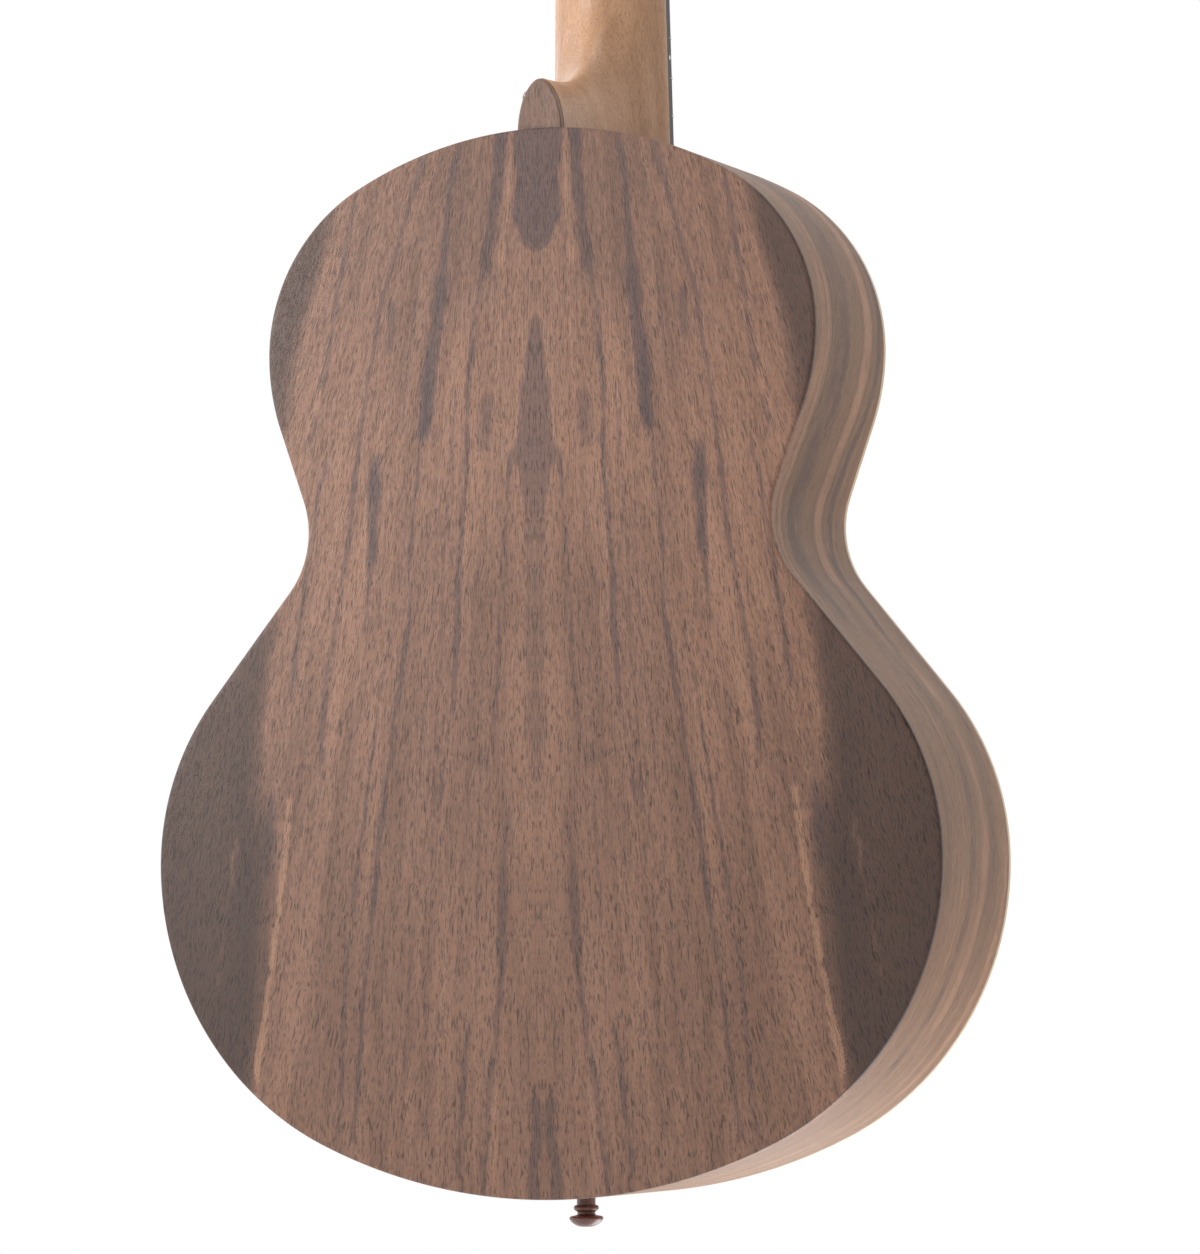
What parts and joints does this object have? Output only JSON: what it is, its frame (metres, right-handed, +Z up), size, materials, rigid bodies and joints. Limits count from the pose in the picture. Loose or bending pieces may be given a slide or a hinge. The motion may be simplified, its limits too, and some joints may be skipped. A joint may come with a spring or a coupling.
{
  "type": "acoustic guitar",
  "caption": "Small-bodied steel-string guitar: waisted walnut box, spruce top, set heel neck and geared tuners that wind the strings.",
  "frame": {"origin": "where the end pin's axis enters the body at the tail, on the centreline", "axes": "+Z up the neck, +Y out of the back, +X towards the treble side; the soundboard faces -Y"},
  "size_m": [0.3732, 0.1206, 1.0199],
  "materials": {
    "walnut_back": "satin",
    "walnut_side": "satin",
    "walnut_cap": "satin",
    "spruce": "satin",
    "brace_spruce": "raw",
    "lining_wood": "raw",
    "mahogany": "satin",
    "veneer": "satin",
    "maple": "raw",
    "ebony": "satin",
    "rosette_inlay": "satin",
    "bone": "satin",
    "pearl": "gloss",
    "pin_plastic": "gloss",
    "turned_rosewood": "satin",
    "dark_chrome": "polished",
    "nickel_silver": "polished",
    "steel": "plain",
    "nickel": "polished",
    "plain_string": "polished",
    "wound_string": "satin",
    "button_cream": "gloss",
    "post_brass": "satin"
  },
  "bodies": {
    "guitar": {"back_bass": "walnut_back", "back_treble": "walnut_back", "side_bass": "walnut_side", "side_treble": "walnut_side", "soundboard_bass": "spruce", "soundboard_treble": "spruce", "rosette": "rosette_inlay", "neck_block": "lining_wood", "tail_block": "lining_wood", "top_linings": "lining_wood", "back_linings": "lining_wood", "back_braces": "brace_spruce", "back_seam_strip": "brace_spruce", "top_braces": "brace_spruce", "bridge_plate": "maple", "neck": "mahogany", "heel_cap": "walnut_cap", "headplate": "veneer", "truss_rod": "steel", "neck_bolts": "steel", "fingerboard": "ebony", "frets": "nickel_silver", "position_dots": "pearl", "nut": "bone", "bridge": "ebony", "saddle": "bone", "bridge_pins": "pin_plastic", "end_pin": "turned_rosewood", "strap_button": "dark_chrome", "tuner_plates": "nickel", "tuner_screws": "nickel", "tuner_bushings": "nickel", "string_1": "plain_string", "string_2": "plain_string", "string_3": "wound_string", "string_4": "wound_string", "string_5": "wound_string", "string_6": "wound_string"},
    "key_1": {"tuner_button_1": "button_cream", "tuner_worm_1": "nickel"},
    "post_1": {"tuner_post_1": "post_brass"},
    "key_2": {"tuner_button_2": "button_cream", "tuner_worm_2": "nickel"},
    "post_2": {"tuner_post_2": "post_brass"},
    "key_3": {"tuner_button_3": "button_cream", "tuner_worm_3": "nickel"},
    "post_3": {"tuner_post_3": "post_brass"},
    "key_4": {"tuner_button_4": "button_cream", "tuner_worm_4": "nickel"},
    "post_4": {"tuner_post_4": "post_brass"},
    "key_5": {"tuner_button_5": "button_cream", "tuner_worm_5": "nickel"},
    "post_5": {"tuner_post_5": "post_brass"},
    "key_6": {"tuner_button_6": "button_cream", "tuner_worm_6": "nickel"},
    "post_6": {"tuner_post_6": "post_brass"}
  },
  "joints": [
    {"name": "key_1_turn", "type": "hinge", "parent": "guitar", "child": "key_1", "pos_m": [0.0245, -0.02411, 0.86537], "axis": [1, 0, 0], "continuous": true},
    {"name": "post_1_turn", "type": "hinge", "parent": "guitar", "child": "post_1", "pos_m": [0.0245, -0.02264, 0.87124], "axis": [0, 0.9703, -0.2419], "continuous": true},
    {"name": "key_2_turn", "type": "hinge", "parent": "guitar", "child": "key_2", "pos_m": [0.0245, -0.01443, 0.90418], "axis": [1, 0, 0], "continuous": true},
    {"name": "post_2_turn", "type": "hinge", "parent": "guitar", "child": "post_2", "pos_m": [0.0245, -0.01297, 0.91005], "axis": [0, 0.9703, -0.2419], "continuous": true},
    {"name": "key_3_turn", "type": "hinge", "parent": "guitar", "child": "key_3", "pos_m": [0.0245, -0.00475, 0.943], "axis": [1, 0, 0], "continuous": true},
    {"name": "post_3_turn", "type": "hinge", "parent": "guitar", "child": "post_3", "pos_m": [0.0245, -0.00329, 0.94886], "axis": [0, 0.9703, -0.2419], "continuous": true},
    {"name": "key_4_turn", "type": "hinge", "parent": "guitar", "child": "key_4", "pos_m": [-0.0245, -0.00475, 0.943], "axis": [1, 0, 0], "continuous": true},
    {"name": "post_4_turn", "type": "hinge", "parent": "guitar", "child": "post_4", "pos_m": [-0.0245, -0.00329, 0.94886], "axis": [0, 0.9703, -0.2419], "continuous": true},
    {"name": "key_5_turn", "type": "hinge", "parent": "guitar", "child": "key_5", "pos_m": [-0.0245, -0.01443, 0.90418], "axis": [1, 0, 0], "continuous": true},
    {"name": "post_5_turn", "type": "hinge", "parent": "guitar", "child": "post_5", "pos_m": [-0.0245, -0.01297, 0.91005], "axis": [0, 0.9703, -0.2419], "continuous": true},
    {"name": "key_6_turn", "type": "hinge", "parent": "guitar", "child": "key_6", "pos_m": [-0.0245, -0.02411, 0.86537], "axis": [1, 0, 0], "continuous": true},
    {"name": "post_6_turn", "type": "hinge", "parent": "guitar", "child": "post_6", "pos_m": [-0.0245, -0.02264, 0.87124], "axis": [0, 0.9703, -0.2419], "continuous": true}
  ],
  "couplings": [
    {"joint": "post_1_turn", "follows": "key_1_turn", "ratio": 0.071429},
    {"joint": "post_2_turn", "follows": "key_2_turn", "ratio": 0.071429},
    {"joint": "post_3_turn", "follows": "key_3_turn", "ratio": 0.071429},
    {"joint": "post_4_turn", "follows": "key_4_turn", "ratio": 0.071429},
    {"joint": "post_5_turn", "follows": "key_5_turn", "ratio": 0.071429},
    {"joint": "post_6_turn", "follows": "key_6_turn", "ratio": 0.071429}
  ]
}
